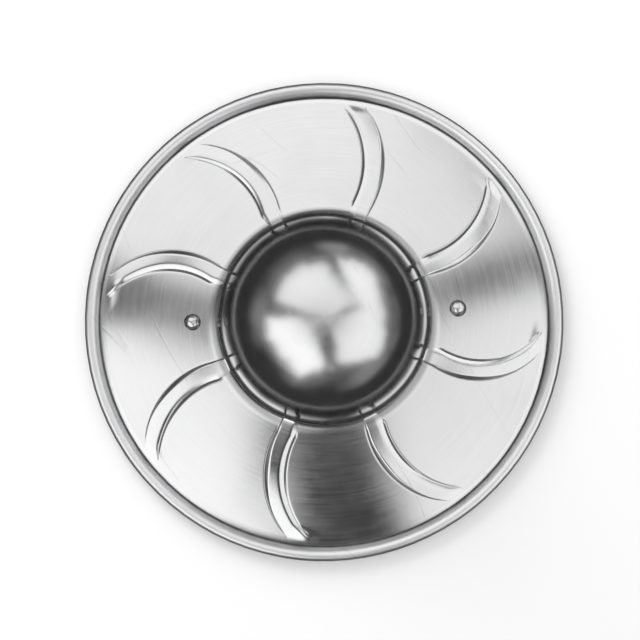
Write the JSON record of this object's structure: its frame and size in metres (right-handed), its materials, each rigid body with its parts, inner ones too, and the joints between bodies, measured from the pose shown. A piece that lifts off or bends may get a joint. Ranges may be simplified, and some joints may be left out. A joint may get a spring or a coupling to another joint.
{
  "type": "buckler shield",
  "caption": "Small round steel shield with a raised round boss, curved embossed rays, a rolled rim and a riveted strap handle across the back of the boss.",
  "frame": {"origin": "middle of the rim's underside, where the shield rests when it lies face up", "axes": "+Z out of the face through the boss, +Y to the top of the shield as it is worn, +X to the right as seen from the front"},
  "size_m": [0.3, 0.3, 0.0835],
  "materials": {
    "sheet_steel": "bright steel, brushed in rings round the boss",
    "handle_steel": "plain steel, brushed along its length",
    "rivet_steel": "polished steel with small hammer flats"
  },
  "bodies": {
    "root": {"shield_body": "sheet_steel", "handle": "handle_steel", "rivet_left": "rivet_steel", "rivet_right": "rivet_steel"}
  },
  "joints": []
}
